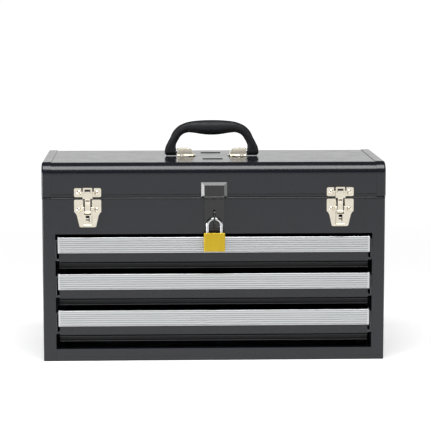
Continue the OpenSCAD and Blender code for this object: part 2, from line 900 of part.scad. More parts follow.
// The base plate: shouldered outline, with two ears that hold the lever
module latch_base() {
    shoulder = base_top - 20;
    color(nickel) difference() {
        union() {
            along_y(base_y, front_y) {
                round_rect(-latch_half, shoulder, latch_half, base_top, 2);
                polygon([[-latch_half, shoulder + 2.5], [latch_half, shoulder + 2.5],
                         [latch_half - 4, shoulder - 4], [base_tip_half, base_low + 3],
                         [-base_tip_half, base_low + 3], [4 - latch_half, shoulder - 4]]);
                round_rect(-base_tip_half, base_low, base_tip_half, base_low + 8, 3);
            }
            both_sides() along_x(ear_in, ear_in + latch_t) {
                rect(lever_y, lever_z - 5, base_y, ear_z);
                translate([lever_y, lever_z]) circle(2.6);
                rect(lever_y - 2.6, lever_z, lever_y, ear_z - 4);
            }
        }
        along_y(base_y - 1, front_y + 1) round_rect(0.2 - ear_in, base_low + 5, ear_in - 0.2, base_top + 3, 2);
        rod_x(-latch_half, latch_half, lever_y, lever_z, lever_pin_d / 2);
        for (s = [-1, 1]) rod_y(base_y - 1, front_y + 1, s * rivet_off, rivet_base_z, rivet_r);
    }
}

// The lever: a channel around the claw's pin, with a window and a turned-out lip
module lever() {
    low = lever_z - lever_len;
    web_top = claw_z - 2.8;
    color(nickel) difference() {
        union() {
            block([-lever_half, web_y, low], [lever_half, web_y + latch_t, web_top]);
            both_sides() along_x(lever_half - latch_t, lever_half) {
                translate([lever_y, lever_z]) circle(2.9);
                translate([claw_y, claw_z]) circle(2);
                polygon([[web_y, web_top + 2], [lever_y - 2.9, lever_z], [lever_y + 2.9, lever_z],
                         [claw_y + 2, claw_z], [claw_y + 1.6, low + 6], [web_y, low]]);
            }
            along_x(-lever_half, lever_half) {
                translate([web_y - 0.9, low + 1.4]) circle(1.4);
                rect(web_y - 0.9, low, web_y + latch_t, low + 1.2);
            }
        }
        rod_x(-latch_half, latch_half, lever_y, lever_z, lever_pin_d / 2 + pin_fit);
        rod_x(-latch_half, latch_half, claw_y, claw_z, claw_pin_d / 2);
        along_y(web_y - 1, web_y + latch_t + 0.1) round_rect(-2.9, low + 6, 2.9, low + 16.5, 1);
    }
    // two bars are left standing in the window
    color(nickel) for (z = [low + 4, low + 10.6])
        block([-3.4, web_y + 0.3, z], [1.7, web_y + latch_t - 0.1, z + (z > low + 5 ? 2 : 5)]);
}

// The claw: an eye on the lever's pin, a stepped neck and a hook in the catch's window
module claw() {
    neck_y = claw_y + 0.6;
    head_y = catch_face_y - 0.3;
    bend_z = claw_z + 13;
    head_low = catch_low - 2.2;
    hook_top = window_low + 1.7;
    color(nickel) difference() {
        union() {
            along_x(-claw_neck_half, claw_neck_half) {
                translate([claw_y, claw_z]) circle(2.2);
                rect(neck_y - latch_t, claw_z, neck_y, bend_z);
                polygon([[neck_y, bend_z - 0.5], [head_y, head_low + 0.5], [head_y, head_low + 1],
                         [head_y - latch_t, head_low + 1], [head_y - latch_t, head_low],
                         [neck_y - latch_t, bend_z - 1]]);
                rect(head_y - latch_t, hook_top - latch_t, catch_face_y + 3.2, hook_top);
            }
            along_y(head_y - latch_t, head_y) {
                round_rect(-claw_head_half, head_low, claw_head_half, hook_top - 2.5, 1.5);
                round_rect(-claw_neck_half, head_low, claw_neck_half, hook_top, 0.8);
            }
        }
        along_y(head_y - 10, neck_y + 1)
            rect(1 - claw_neck_half, head_low - 4, claw_neck_half - 1, head_low - 2.2);
        rod_x(-latch_half, latch_half, claw_y, claw_z, claw_pin_d / 2 + pin_fit);
    }
}

// The catch on the lid: two riveted ears and a raised bridge with the window for the claw
module catch_plate() {
    bridge_half = lever_half + 0.8;
    slit_low = catch_top - 6.2;
    ear_top = catch_top - 0.8;
    color(nickel) difference() {
        union() {
            for (s = [-1, 1]) along_y(base_y, front_y)
                round_rect(min(s * latch_half, s * (bridge_half - latch_t)), catch_low,
                           max(s * latch_half, s * (bridge_half - latch_t)), ear_top, 2.4);
            along_y(catch_face_y, catch_face_y + latch_t)
                round_rect(-bridge_half, catch_low + 0.6, bridge_half, catch_top, 1);
            both_sides() block([bridge_half - latch_t, catch_face_y, catch_low + 2.4],
                               [bridge_half, front_y, catch_top - 3.2]);
        }
        along_y(catch_face_y - 1, catch_face_y + latch_t + 1)
            rect(-window_half, window_low, window_half, window_top);
        both_sides() along_y(base_y - 1, front_y + 1)
            rect(bridge_half, slit_low, bridge_half + 2.3, catch_top + 1);
        for (s = [-1, 1]) rod_y(base_y - 1, front_y + 1, s * rivet_off, rivet_catch_z, rivet_r);
    }
}

module at_latch(side) {
    translate([side * latch_x, 0, 0]) children();
}

module latch_base_left() {
    at_latch(-1) latch_base();
}

module latch_base_right() {
    at_latch(1) latch_base();
}

module catch_left() {
    at_latch(-1) catch_plate();
}

module catch_right() {
    at_latch(1) catch_plate();
}

module lever_left() {
    at_latch(-1) lever();
}

module lever_right() {
    at_latch(1) lever();
}

module claw_left() {
    at_latch(-1) claw();
}

module claw_right() {
    at_latch(1) claw();
}

module claw_pin(side) {
    color(nickel) at_latch(side) rod_x(-lever_half, lever_half, claw_y, claw_z, claw_pin_d / 2);
}

module claw_pin_left() {
    claw_pin(-1);
}

module claw_pin_right() {
    claw_pin(1);
}

// Headed rivets on which the levers turn, one through each ear
module latch_pivots() {
    color(nickel) for (side = [-1, 1]) at_latch(side) both_sides() {
        rod_x(lever_half - latch_t, ear_in + latch_t, lever_y, lever_z, lever_pin_d / 2);
        rod_x(ear_in + latch_t, ear_in + latch_t + 0.8, lever_y, lever_z, lever_pin_d / 2 + 0.7);
    }
}

module case_rivets() {
    color(nickel) latch_rivets(rivet_base_z, front_y + sheet);
}

module lid_rivets() {
    color(nickel) {
        latch_rivets(rivet_catch_z, front_y + sheet);
        bracket_rivet_shanks(lid_top - sheet, lid_top + bracket_t);
        both_sides() for (s = [-1, 1])
            translate([bracket_out - 7.5, handle_y + s * (bracket_w / 2 - 3.6), lid_top + bracket_t])
                rivet_head(rivet_head_r);
    }
}

// ---- hasp and staple ----

// Bevelled on three sides and shrunk inwards by g
module hasp_dome(g) {
    low = lid_z;
    top = lid_z + hasp_h - g;
    face = front_y - hasp_raise + g;
    intersection() {
        translate([0, 0, low]) linear_extrude(top - low) polygon([
            [-hasp_half + g, front_y], [hasp_half - g, front_y], [hasp_half - g, front_y - 0.8],
            [hasp_half - hasp_bevel, face], [-hasp_half + hasp_bevel, face], [-hasp_half + g, front_y - 0.8]]);
        along_x(-hasp_half, hasp_half) polygon([
            [front_y, low], [front_y, top], [front_y - 0.8, top], [face, top + g - hasp_bevel], [face, low]]);
    }
}

// Knuckles of the hasp with even or odd numbers
module hasp_knuckles(first) {
    for (i = [first:2:4])
        rod_x(-flap_half + i * hasp_knuckle + 0.15, -flap_half + (i + 1) * hasp_knuckle - 0.15,
              hasp_y, hasp_z, hasp_knuckle_r);
}

module hasp_plate() {
    color(black_steel) difference() {
        union() {
            difference() {
                hasp_dome(0);
                hasp_dome(flap_t);
            }
            block([-hasp_half + 1, front_y - hasp_raise, lid_z], [hasp_half - 1, front_y, lid_z + flap_t]);
            intersection() {
                hasp_knuckles(0);
                block([-half_w, hasp_y - 5, 0], [half_w, front_y, lid_top]);
            }
        }
        for (i = [1, 3])
            rod_x(-flap_half + i * hasp_knuckle - 0.15, -flap_half + (i + 1) * hasp_knuckle + 0.15,
                  hasp_y, hasp_z, hasp_knuckle_r + 0.3);
        rod_x(-half_w, half_w, hasp_y, hasp_z, hasp_pin_d / 2);
    }
}

module hasp_pin() {
    color(black_steel) rod_x(-flap_half, flap_half, hasp_y, hasp_z, hasp_pin_d / 2);
}

// The strap, with its slot for the staple and a turned-out lower edge
module hasp_strap() {
    y0 = hasp_y - flap_t / 2;
    low = hasp_z - flap_len;
    // the slot clears the staple's lower nose on its way around the hasp pin
    sweep = norm([hasp_y - staple_front - staple_nose, hasp_z - staple_low - staple_nose]) + staple_nose;
    color(black_steel) difference() {
        union() {
            along_y(y0, y0 + flap_t) difference() {
                round_rect(-flap_half, low, flap_half, hasp_z - 1, 2);
                round_rect(-staple_t / 2 - slot_play, hasp_z - sweep - slot_play,
                           staple_t / 2 + slot_play, staple_top + slot_play, 1.2);
            }
            along_x(-flap_half + 2, flap_half - 2) translate([y0, low + 1]) circle(1);
            hasp_knuckles(1);
        }
        for (i = [0, 2, 4])
            rod_x(-flap_half + i * hasp_knuckle - 0.15, -flap_half + (i + 1) * hasp_knuckle + 0.15,
                  hasp_y, hasp_z, hasp_knuckle_r + 0.3);
        rod_x(-half_w, half_w, hasp_y, hasp_z, hasp_pin_d / 2 + pin_fit);
    }
}

// The staple: a plate on the case and an upright fin with the eye for the shackle
module staple() {
    low = staple_low;
    top = staple_top;
    nose = staple_nose;
    color(black_steel) difference() {
        union() {
            along_y(front_y - flap_t, front_y) round_rect(-11, low - 4, 11, top + 4, 2);
            along_x(-staple_t / 2, staple_t / 2) {
                rect(staple_front + nose, low, front_y, top);
                rect(staple_front, low + nose, front_y, top - nose);
                for (z = [low + nose, top - nose]) translate([staple_front + nose, z]) circle(nose);
            }
        }
        rod_x(-staple_t, staple_t, eye_y, eye_z, eye_d / 2);
    }
}

// ---- padlock ----

module shackle() {
    half = shackle_span / 2;
    bend_z = wire_z - half;
    color(bright_steel) {
        translate([0, eye_y, bend_z]) rotate([90, 0, 0])
            rotate_extrude(angle = 180) translate([half, 0]) circle(shackle_d / 2);
        translate([-half, eye_y, lock_top - heel_depth]) cylinder(h = bend_z - lock_top + heel_depth, r = shackle_d / 2);
        translate([half, eye_y, lock_top - toe_depth]) cylinder(h = bend_z - lock_top + toe_depth, r = shackle_d / 2);
    }
}

module lock_body() {
    half = shackle_span / 2;
    chamfer = 1.2;
    color(brass) difference() {
        intersection() {
            along_y(eye_y - lock_t / 2, eye_y + lock_t / 2)
                round_rect(-lock_w / 2, lock_low, lock_w / 2, lock_top, 1.2);
            along_x(-lock_w / 2, lock_w / 2)
                round_rect(eye_y - lock_t / 2, lock_low, eye_y + lock_t / 2, lock_top, 1.2);
            translate([0, eye_y, lock_low]) linear_extrude(lock_h)
                round_rect(-lock_w / 2, -lock_t / 2, lock_w / 2, lock_t / 2, chamfer);
        }
        translate([-half, eye_y, lock_top - heel_depth - 1]) cylinder(h = heel_depth + 2, r = shackle_d / 2 + pin_fit);
        translate([half, eye_y, lock_top - toe_depth - 1]) cylinder(h = toe_depth + 2, r = shackle_d / 2 + pin_fit);
        translate([0, eye_y, lock_low - 1]) cylinder(h = plug_len + 1, r = plug_d / 2 + pin_fit);
    }
}

module key_plug() {
    color(nickel) difference() {
        translate([0, eye_y, lock_low]) cylinder(h = plug_len - 0.3, r = plug_d / 2);
        translate([0, eye_y, lock_low - 1]) linear_extrude(8) {
            rect(-3.4, -0.6, 2.4, 0.6);
            translate([2.4, 0]) circle(1.1);
        }
    }
}

// ---- lid stays ----

// A slotted arm on the lid's pin; the case's pin slides in its slot
module stay() {
    away = stay_case - stay_lid;
    turn = atan2(away[1], away[0]);
    r = stay_w / 2;
    color(zinc) difference() {
        translate([stay_x, stay_lid[0], stay_lid[1]]) rotate([90, 0, 90]) rotate([0, 0, turn])
            linear_extrude(stay_t) difference() {
                round_rect(-r, -r, stay_long + 6, r, r - 0.01);
                round_rect(stay_short - stay_pin_d / 2 - 0.6, -stay_pin_d / 2 - 0.1,
                           stay_long + stay_pin_d / 2 + 0.6, stay_pin_d / 2 + 0.1, stay_pin_d / 2);
            }
        rod_x(0, half_w, stay_lid[0], stay_lid[1], stay_pin_d / 2 + pin_fit);
    }
}

module stay_right() {
    stay();
}

module stay_left() {
    mirror([1, 0, 0]) stay();
}

// A headed pin from the wall through the stay
module stay_pin(at, wall_x) {
    collar_x = stay_x + stay_t + 0.3;
    rod_x(stay_x - 0.3, wall_x, at[0], at[1], stay_pin_d / 2);
    rod_x(stay_x - 0.3 - stay_head, stay_x - 0.3, at[0], at[1], stay_pin_d / 2 + 1.6);
    rod_x(collar_x, half_w - sheet, at[0], at[1], stay_pin_d / 2 + 1.6);
}

module stay_pins_case() {
    color(zinc) both_sides() stay_pin(stay_case, half_w);
}

module stay_pins_lid() {
    color(zinc) both_sides() stay_pin(stay_lid, half_w + 0.5);
}

side_left();
side_right();
back_panel();
base_pan();
front_panel();
till_floor();
rim();
rear_post_left();
rear_post_right();
runners_left();
runners_right();
hinge_leaf_case();
hinge_pin();
hinge_leaf_lid();
lid_shell();
lid_end_left();
lid_end_right();
handle_bracket_left();
handle_bracket_right();
handle_core();
handle_grip();
tray(drawer_z[2]);  // tray_top
drawer_front(drawer_z[2]);  // front_top
pull(drawer_z[2]);  // pull_top
pull_clips(drawer_z[2]);  // pull_clips_top
slides(drawer_z[2]);  // slides_top
tray(drawer_z[1]);  // tray_middle
drawer_front(drawer_z[1]);  // front_middle
pull(drawer_z[1]);  // pull_middle
pull_clips(drawer_z[1]);  // pull_clips_middle
slides(drawer_z[1]);  // slides_middle
tray(drawer_z[0]);  // tray_bottom
drawer_front(drawer_z[0]);  // front_bottom
pull(drawer_z[0]);  // pull_bottom
pull_clips(drawer_z[0]);  // pull_clips_bottom
slides(drawer_z[0]);  // slides_bottom
latch_base_left();
latch_base_right();
catch_left();
catch_right();
lever_left();
lever_right();
claw_left();
claw_right();
claw_pin_left();
claw_pin_right();
latch_pivots();
case_rivets();
lid_rivets();
hasp_plate();
hasp_pin();
hasp_strap();
staple();
shackle();
lock_body();
key_plug();
stay_left();
stay_right();
stay_pins_case();
stay_pins_lid();
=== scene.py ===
"""Looks of a portable steel tool box: finishes, soft edges, the moulded grip, studio and camera.

Laid out as an add-on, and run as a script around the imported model. Lengths are in metres.
"""

import json
import math

import bmesh
import bpy
from bpy.props import FloatProperty, FloatVectorProperty, IntProperty, PointerProperty
from mathutils import Matrix, Vector


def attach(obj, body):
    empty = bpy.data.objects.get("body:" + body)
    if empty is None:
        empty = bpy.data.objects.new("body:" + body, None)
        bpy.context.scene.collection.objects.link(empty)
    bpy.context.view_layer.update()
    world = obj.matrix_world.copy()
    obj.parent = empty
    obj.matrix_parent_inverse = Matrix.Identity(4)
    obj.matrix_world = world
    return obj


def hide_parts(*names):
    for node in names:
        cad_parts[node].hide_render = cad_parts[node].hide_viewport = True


bl_info = {
    "name": "Portable Tool Box",
    "version": (1, 0, 0),
    "blender": (4, 5, 0),
    "location": "3D View > Sidebar > Tool Box",
    "description": "Finishes and stages a portable steel tool box with drawers",
    "category": "Object",
}

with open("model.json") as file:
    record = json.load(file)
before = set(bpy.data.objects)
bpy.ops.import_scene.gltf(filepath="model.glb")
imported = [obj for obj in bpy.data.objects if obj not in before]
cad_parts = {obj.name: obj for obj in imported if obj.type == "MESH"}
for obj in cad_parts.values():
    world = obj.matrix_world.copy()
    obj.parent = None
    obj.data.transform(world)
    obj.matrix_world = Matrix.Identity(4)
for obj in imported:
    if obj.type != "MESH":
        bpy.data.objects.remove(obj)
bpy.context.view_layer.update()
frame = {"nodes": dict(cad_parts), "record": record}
NODES = frame["nodes"]
MM = 0.001

SIDES = ("left", "right")
LEVELS = ("top", "middle", "bottom")
SLOT_OF = {p["node"]: p["material_slot"] for p in frame["record"]["subparts"]}
BODY_OF = {n: b for b, names in frame["record"]["behaviour"]["bodies"].items() for n in names}

# The gap and the angles that tell a real edge from the facets of one surface.
WELD_GAP = 1e-6
FLAT_ANGLE = math.radians(0.5)
EDGE_ANGLE = math.radians(40)


def linear(hex_colour):
    """An sRGB hex colour, such as "#3e3f43", as linear red, green and blue."""
    parts = [int(hex_colour[i : i + 2], 16) / 255 for i in (1, 3, 5)]
    return tuple(c / 12.92 if c <= 0.04045 else ((c + 0.055) / 1.055) ** 2.4 for c in parts)


def colour_prop(name, hex_colour, description):
    """A colour property with an sRGB hex default."""
    return FloatVectorProperty(
        name=name, description=description, subtype="COLOR", size=3, min=0, max=1, default=linear(hex_colour)
    )


def length_prop(name, millimetres, description):
    """A length property with a default in millimetres."""
    return FloatProperty(
        name=name, description=description, subtype="DISTANCE", unit="LENGTH", min=0, default=millimetres * MM
    )


# ---- properties -------------------------------------------------------------------------


class ToolBoxFinish(bpy.types.PropertyGroup):
    """Colours and grain of every finish."""

    paint: colour_prop("Powder coat", "#111319", "Colour of the charcoal powder coat")
    paint_fleck: colour_prop("Powder coat fleck", "#1f222b", "Colour of the lighter grains in the powder coat")
    aluminium: colour_prop("Aluminium", "#caccce", "Colour of the anodised pulls")
    nickel: colour_prop("Nickel", "#ddd6c6", "Colour of the nickel plating")
    zinc: colour_prop("Zinc", "#7d8084", "Colour of the zinc plating")
    rubber: colour_prop("Grip", "#121316", "Colour of the moulded grip")
    brass: colour_prop("Brass", "#c6a826", "Colour of the lacquered padlock body")
    chrome: colour_prop("Chrome", "#c2c4c6", "Colour of the shackle's plating")
    black_steel: colour_prop("Black steel", "#131315", "Colour of the hasp's black coat")
    peel_size: length_prop("Powder coat grain", 0.9, "Spacing of the powder coat's orange peel")
    brush_size: length_prop("Brush line", 0.35, "Spacing of the brushed lines")
    grip_grain: length_prop("Grip grain", 0.7, "Spacing of the grip's moulded grain")


class ToolBoxForm(bpy.types.PropertyGroup):
    """Small forms that the finish adds to the solids, and the measures that patterns follow."""

    sheet_edge: length_prop("Sheet edge", 0.3, "Radius on the folded and cut edges of the painted steel")
    fitting_edge: length_prop("Fitting edge", 0.22, "Radius on the edges of the plated fittings")
    lock_edge: length_prop("Padlock edge", 1.1, "Radius on the padlock's edges")
    press_size: length_prop("Pressing net", 0.4, "Spacing of the net on the pressed handle brackets")
    press_rounds: IntProperty(
        name="Pressing rounds", description="How far the brackets' shoulders are rounded",
        default=20, min=1, max=60,
    )
    groove_pitch: length_prop("Groove pitch", 3.3, "Distance between the grooves of a pull")
    groove_first: length_prop("First groove", 5.5, "Height of a pull above its first groove")
    recess_h: length_prop("Recess height", 10.8, "Height of the stepped foot of a drawer front")
    ridge_h: length_prop("Ridge height", 1.4, "Height of a ridge in the recess")
    upper_ridge: length_prop("Upper ridge", 7, "Height of the upper ridge over the lower one")
    recess_blend: length_prop("Recess blend", 0.2, "Height over which the recess turns into the face")
    grip_rings: IntProperty(
        name="Grip rings", description="Rings along half of the moulded grip", default=64, min=16, max=200
    )
    grip_sides: IntProperty(name="Grip sides", description="Points around the grip", default=48, min=12, max=200)
    edge_steps: IntProperty(name="Edge steps", description="Faces across a rounded edge", default=2, min=1, max=4)


class ToolBoxStage(bpy.types.PropertyGroup):
    """Camera, lamps and backdrop."""

    camera_place: FloatVectorProperty(
        name="Camera place", description="Where the camera stands", subtype="TRANSLATION", unit="LENGTH",
        default=(-0.09198, -2.80248, 0.57434),
    )
    camera_turn: FloatProperty(
        name="Camera turn", description="Turn of the view to the right of straight ahead", subtype="ANGLE",
        default=0.03459,
    )
    camera_dip: FloatProperty(
        name="Camera dip", description="Slope of the view below the horizon", subtype="ANGLE", default=0.12932
    )
    focal: FloatProperty(name="Lens", description="Focal length on a 36 mm frame", default=150.3, min=10)
    backdrop: colour_prop("Backdrop", "#ffffff", "Colour of the floor and of the space around")
    ambient: FloatProperty(
        name="Ambient light", description="Level of the light from all around", default=0.26, min=0
    )
    ceiling: FloatProperty(
        name="Ceiling", description="Level of the ceiling that a gloss sees", default=0.08, min=0
    )
    wall_top: FloatProperty(
        name="Wall top", description="Slope up to the top of the white walls", subtype="ANGLE",
        default=math.radians(10),
    )
    wall_fade: FloatProperty(
        name="Wall fade", description="Rise over which the walls darken into the ceiling", default=0.1, min=0
    )
    paper_white: FloatProperty(
        name="Paper white", description="Share of the light that the paper sends back", default=0.85, min=0, max=1
    )
    paper_glow: FloatProperty(
        name="Floor lift", description="Light added to the floor under the object, where it is seen",
        default=0.46, min=0,
    )
    far_glow: FloatProperty(
        name="Far floor lift", description="Further light added to the floor far from the object",
        default=0.4, min=0,
    )
    glow_start: FloatProperty(
        name="Far lift start", description="Distance at which the further light begins",
        subtype="DISTANCE", unit="LENGTH", default=0.8,
    )
    glow_end: FloatProperty(
        name="Far lift end", description="Distance at which the further light is whole",
        subtype="DISTANCE", unit="LENGTH", default=2.4,
    )
    floor_reach: FloatProperty(
        name="Floor reach", description="Radius of the paper floor", subtype="DISTANCE", unit="LENGTH", default=40
    )
    top_light: FloatProperty(
        name="Top light", description="Power of the large top lamp in watts", default=19, min=0
    )
    left_light: FloatProperty(
        name="Left light", description="Power of the left lamp in watts", default=11, min=0
    )
    right_light: FloatProperty(
        name="Right light", description="Power of the right lamp in watts", default=2.4, min=0
    )


# ---- node and mesh helpers ----------------------------------------------------------------


def new_material(name):
    """An empty material tree with its output."""
    material = bpy.data.materials.new(name)
    material.use_nodes = True
    tree = material.node_tree
    tree.nodes.clear()
    return material, tree, tree.nodes.new("ShaderNodeOutputMaterial")


def put(tree, kind, settings=None, **links):
    """Adds a node. Settings are attributes or socket values by name. Links are sockets or values, by
    the socket's name with _ for a space, or by its number as i0, i1 and so on."""
    node = tree.nodes.new(kind)
    for key, value in (settings or {}).items():
        if key in node.inputs:
            node.inputs[key].default_value = value
        else:
            setattr(node, key, value)
    for key, value in links.items():
        numbered = key[0] == "i" and key[1:].isdigit()
        socket = node.inputs[int(key[1:])] if numbered else node.inputs[key.replace("_", " ")]
        if isinstance(value, bpy.types.NodeSocket):
            tree.links.new(value, socket)
        else:
            socket.default_value = value
    return node


def maths(tree, operation, *values):
    """The result of one calculation on sockets or numbers."""
    links = {f"i{i}": value for i, value in enumerate(values)}
    return put(tree, "ShaderNodeMath", {"operation": operation}, **links).outputs[0]


def upright(tree, space="Object"):
    """Height in the object, or of a direction when the space is Generated."""
    place = put(tree, "ShaderNodeTexCoord").outputs[space]
    return put(tree, "ShaderNodeSeparateXYZ", Vector=place).outputs["Z"]


def seen_rays(tree):
    """One for the rays with which the camera, a gloss or a glass looks, and zero for light itself."""
    path = put(tree, "ShaderNodeLightPath").outputs
    direct = maths(tree, "MAXIMUM", path["Is Camera Ray"], path["Is Glossy Ray"])
    return maths(tree, "MAXIMUM", direct, path["Is Transmission Ray"])


def rgba(colour):
    """A colour with full cover."""
    return (*colour, 1.0)


def shade(colour, level):
    """A colour made darker or lighter."""
    return tuple(c * level for c in colour)


def grain(tree, size, stretch=(1, 1, 1), detail=2.0, roughness=0.5):
    """Noise whose features are size apart, in metres, and drawn out along each axis by stretch."""
    place = put(tree, "ShaderNodeTexCoord").outputs["Object"]
    scaled = put(tree, "ShaderNodeMapping", {"Scale": tuple(1 / s for s in stretch)}, Vector=place)
    return put(
        tree, "ShaderNodeTexNoise", {"Scale": 1 / size, "Detail": detail, "Roughness": roughness},
        Vector=scaled.outputs["Vector"],
    ).outputs["Fac"]


def spread(tree, value, low, high, start=0.3, end=0.7):
    """Maps a value between start and end, by default a noise, to the range from low to high."""
    ends = {"From Min": start, "From Max": end, "To Min": low, "To Max": high}
    return put(tree, "ShaderNodeMapRange", ends, Value=value).outputs["Result"]


def blend_colours(tree, factor, first, second):
    """Two colours mixed by a factor. Each is a plain colour or a socket."""
    ends = [c if isinstance(c, bpy.types.NodeSocket) else rgba(c) for c in (first, second)]
    return put(tree, "ShaderNodeMix", {"data_type": "RGBA"}, i0=factor, i6=ends[0], i7=ends[1]).outputs[2]


def patches(tree, noise, first, second):
    """Two colours mixed by a noise."""
    return blend_colours(tree, spread(tree, noise, 0, 1), first, second)


def bump(tree, height, depth):
    """A bump as deep as depth, in metres, where height goes from 0 to 1."""
    return put(tree, "ShaderNodeBump", {"Distance": depth}, Height=height).outputs["Normal"]


def surface(name, settings, colour, roughness, normal):
    """One Principled material: plain numbers on its own sockets, patterns through links."""
    material, tree, output = new_material(name)
    shader = put(tree, "ShaderNodeBsdfPrincipled", settings)
    tree.links.new(shader.outputs["BSDF"], output.inputs["Surface"])
    for socket, maker in (("Base Color", colour), ("Roughness", roughness), ("Normal", normal)):
        tree.links.new(maker(tree), shader.inputs[socket])
    return material


def placed(name, data):
    """A new object in the scene."""
    item = bpy.data.objects.new(name, data)
    bpy.context.scene.collection.objects.link(item)
    return item


def paint_nodes(material, names):
    """Gives CAD nodes their finish in every slot."""
    for name in names:
        for place in NODES[name].material_slots:
            place.material = material


def soften(names, radius, steps):
    """Rounds the edges of CAD nodes with modifiers, which leave their meshes as they are."""
    for name in names:
        node = NODES[name]
        weld = node.modifiers.new("join_corners", "WELD")
        weld.merge_threshold = WELD_GAP
        plain = node.modifiers.new("plain_faces", "DECIMATE")
        plain.decimate_type = "DISSOLVE"
        plain.angle_limit = FLAT_ANGLE
        edge = node.modifiers.new("edge_radius", "BEVEL")
        edge.width = radius
        edge.segments = steps
        edge.limit_method = "ANGLE"
        edge.angle_limit = EDGE_ANGLE
        edge.use_clamp_overlap = True
        flat = node.modifiers.new("flat_faces", "WEIGHTED_NORMAL")
        flat.keep_sharp = True


def press(node, size, rounds):
    """Gives a CAD node the soft shoulders of a deep pressing, with modifiers."""
    net = node.modifiers.new("even_net", "REMESH")
    net.mode = "VOXEL"
    net.voxel_size = size
    net.use_smooth_shade = True
    flow = node.modifiers.new("metal_flow", "SMOOTH")
    flow.factor = 0.5
    flow.iterations = rounds


# ---- materials ------------------------------------------------------------------------------


POWDER_COAT = {"Metallic": 0.0, "IOR": 1.5, "Specular IOR Level": 0.5}
POWDER_PEEL = 0.006 * MM


def powder_colour(tree, finish):
    """Charcoal powder with lighter grains."""
    flecks = spread(tree, grain(tree, finish.peel_size * 0.6, detail=3), 0, 1, 0.42, 0.66)
    return blend_colours(tree, flecks, finish.paint, finish.paint_fleck)


def powder_coated_steel(finish):
    """Mild steel sheet with a charcoal polyester powder coat, sprayed and baked."""
    # The coat is a shiny dark skin over a soft orange peel about 1 mm across, so it is near black
    # face on and a grainy grey mirror at a grazing angle.
    return surface(
        "powder_coated_steel",
        POWDER_COAT,
        lambda t: powder_colour(t, finish),
        lambda t: spread(t, grain(t, finish.peel_size * 30, detail=2), 0.17, 0.2),
        lambda t: bump(t, grain(t, finish.peel_size, detail=2), POWDER_PEEL),
    )


def powder_coated_front(finish, form, level):
    """The same powder coat on a drawer front, with painted shade in the recess of its stepped foot."""
    # The recess looks near black, so its colour is painted shade, 0.3 of the coat's colour, and it is
    # also made matt; only the two ridges that stand out of it keep the face's colour and gloss. The
    # recess looks near black in the photo. Guessed: little powder reaches it, so it bakes thin, dark
    # and matt, and only the two ridges that stand out of it are as shiny as the face.
    low = min(v.co.z for v in NODES[f"front_{level}"].data.vertices)
    recess_top = low + form.recess_h

    def shiny(tree):
        height = upright(tree)
        total = spread(tree, height, 0, 1, recess_top, recess_top + form.recess_blend)
        for start in (0, form.upper_ridge):
            ridge = maths(tree, "COMPARE", height, low + start + form.ridge_h / 2, form.ridge_h / 2)
            total = maths(tree, "MAXIMUM", total, ridge)
        return total

    return surface(
        f"powder_coated_front_{level}",
        POWDER_COAT,
        # Painted shade: the recess gets the coat's colour darkened to 0.3.
        lambda t: blend_colours(t, shiny(t), shade(finish.paint, 0.3), powder_colour(t, finish)),
        lambda t: spread(t, shiny(t), 0.7, 0.19, 0, 1),
        lambda t: bump(t, grain(t, finish.peel_size, detail=2), POWDER_PEEL),
    )


def anodised_aluminium(finish):
    """Extruded aluminium, brushed along its length and clear anodised."""
    # Brushing along the clip stretches highlights across it and leaves fine streaks lengthwise.
    lines = (60, 1, 1)
    return surface(
        "anodised_aluminium",
        {"Metallic": 1.0, "Anisotropic": 0.4},
        lambda t: patches(t, grain(t, finish.brush_size, lines), finish.aluminium, shade(finish.aluminium, 0.9)),
        lambda t: spread(t, grain(t, finish.brush_size, lines), 0.3, 0.42),
        lambda t: bump(t, grain(t, finish.brush_size, lines), 0.004 * MM),
    )


def grooved_aluminium(finish, form):
    """Extruded aluminium with fine grooves along its face, brushed and clear anodised, with painted shade along
    the grooves.
    """
    # Each groove's colour is darkened to 0.62 as painted shade, so it reads as a thin grey line from afar.
    lines = (400, 1, 1)
    pitch = form.groove_pitch
    first = max(v.co.z for v in NODES["pull_top"].data.vertices) - form.groove_first

    def lined(tree):
        steps = maths(tree, "MULTIPLY_ADD", upright(tree), 1 / pitch, 0.5 - first / pitch)
        away = maths(tree, "ABSOLUTE", maths(tree, "SUBTRACT", maths(tree, "FRACT", steps), 0.5))
        # Painted shade: the colour falls to 0.62 at the middle of each groove.
        light = spread(tree, away, 0.62, 1.0, 0.12, 0.24)
        streaks = grain(tree, finish.brush_size, lines)
        bright = patches(tree, streaks, finish.aluminium, shade(finish.aluminium, 0.92))
        return put(tree, "ShaderNodeVectorMath", {"operation": "SCALE"}, i0=bright, Scale=light).outputs["Vector"]

    return surface(
        "grooved_aluminium",
        {"Metallic": 1.0, "Anisotropic": 0.4},
        lined,
        lambda t: spread(t, grain(t, finish.brush_size, lines), 0.3, 0.4),
        lambda t: bump(t, grain(t, finish.brush_size, lines), 0.002 * MM),
    )


def nickel_plated_steel(finish):
    """Stamped steel, tumbled and plated with bright nickel."""
    # Nickel is a warm silver; tumbling leaves soft ripples, so reflections waver a little.
    return surface(
        "nickel_plated_steel",
        {"Metallic": 1.0},
        lambda t: patches(t, grain(t, 8 * MM, detail=3), finish.nickel, shade(finish.nickel, 0.9)),
        lambda t: spread(t, grain(t, 5 * MM, detail=3), 0.09, 0.16),
        lambda t: bump(t, grain(t, 5 * MM, detail=1), 0.02 * MM),
    )


def zinc_plated_steel(finish):
    """Rolled steel section, zinc plated and clear passivated."""
    # Passivated zinc is a cool grey with cloudy patches a few millimetres wide.
    return surface(
        "zinc_plated_steel",
        {"Metallic": 1.0},
        lambda t: patches(t, grain(t, 9 * MM, detail=4), finish.zinc, shade(finish.zinc, 0.8)),
        lambda t: spread(t, grain(t, 5 * MM, detail=4), 0.3, 0.45),
        lambda t: bump(t, grain(t, 0.8 * MM, detail=2), 0.008 * MM),
    )


